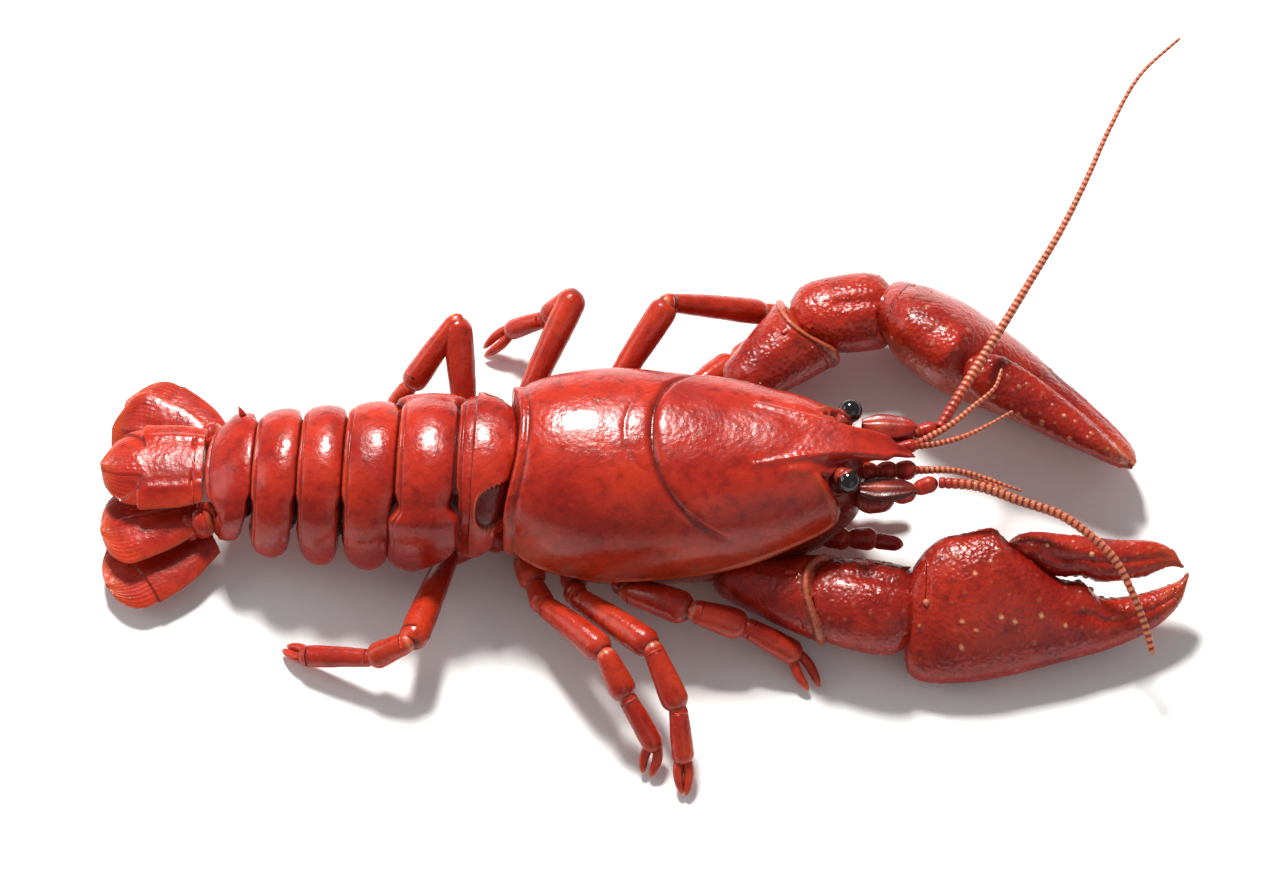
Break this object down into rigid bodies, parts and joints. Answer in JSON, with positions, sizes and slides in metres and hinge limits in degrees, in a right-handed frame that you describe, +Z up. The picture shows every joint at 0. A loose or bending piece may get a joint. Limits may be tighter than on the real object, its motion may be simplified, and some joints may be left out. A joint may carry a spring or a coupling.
{
  "type": "cooked crayfish",
  "caption": "Whole cooked crayfish lying on its belly, with raised carapace, segmented abdomen, tail fan, large claws, walking legs and long antennae.",
  "frame": {"origin": "on the surface it lies on, in the middle of the flat patch under the breast", "axes": "+X towards the head, +Y towards the animal's left side, +Z up"},
  "size_m": [0.1579, 0.1208, 0.0273],
  "materials": {
    "shell": "smooth cooked shell, satin gloss",
    "claw": "dark red granular shell with cream tubercles",
    "leg": "thin orange-red shell",
    "antenna": "ringed red whip",
    "eye": "glossy black"
  },
  "bodies": {
    "root": {"carapace": "shell", "abdomen_segment_1": "shell", "abdomen_segment_2": "shell", "abdomen_segment_3": "shell", "abdomen_segment_4": "shell", "abdomen_segment_5": "shell", "abdomen_segment_6": "shell", "telson": "shell", "uropod_inner_left": "shell", "uropod_inner_right": "shell", "uropod_outer_left": "shell", "uropod_outer_right": "shell", "tail_knuckle_left": "shell", "tail_knuckle_right": "shell", "eye_left": "eye", "eye_right": "eye", "arm_left": "claw", "arm_right": "claw", "wrist_left": "claw", "wrist_right": "claw", "claw_left": "claw", "claw_right": "claw", "claw_finger_left": "claw", "claw_finger_right": "claw", "antenna_base_left": "antenna", "antenna_base_right": "antenna", "antenna_left": "antenna", "antenna_right": "antenna", "antennule_left": "antenna", "antennule_right": "antenna", "antenna_scale_left": "antenna", "antenna_scale_right": "antenna", "mouth_limb_left": "leg", "mouth_limb_right": "leg", "leg_1_left": "leg", "leg_1_right": "leg", "leg_2_left": "leg", "leg_2_right": "leg", "leg_3_left": "leg", "leg_3_right": "leg", "leg_4_left": "leg", "leg_4_right": "leg"}
  },
  "joints": []
}
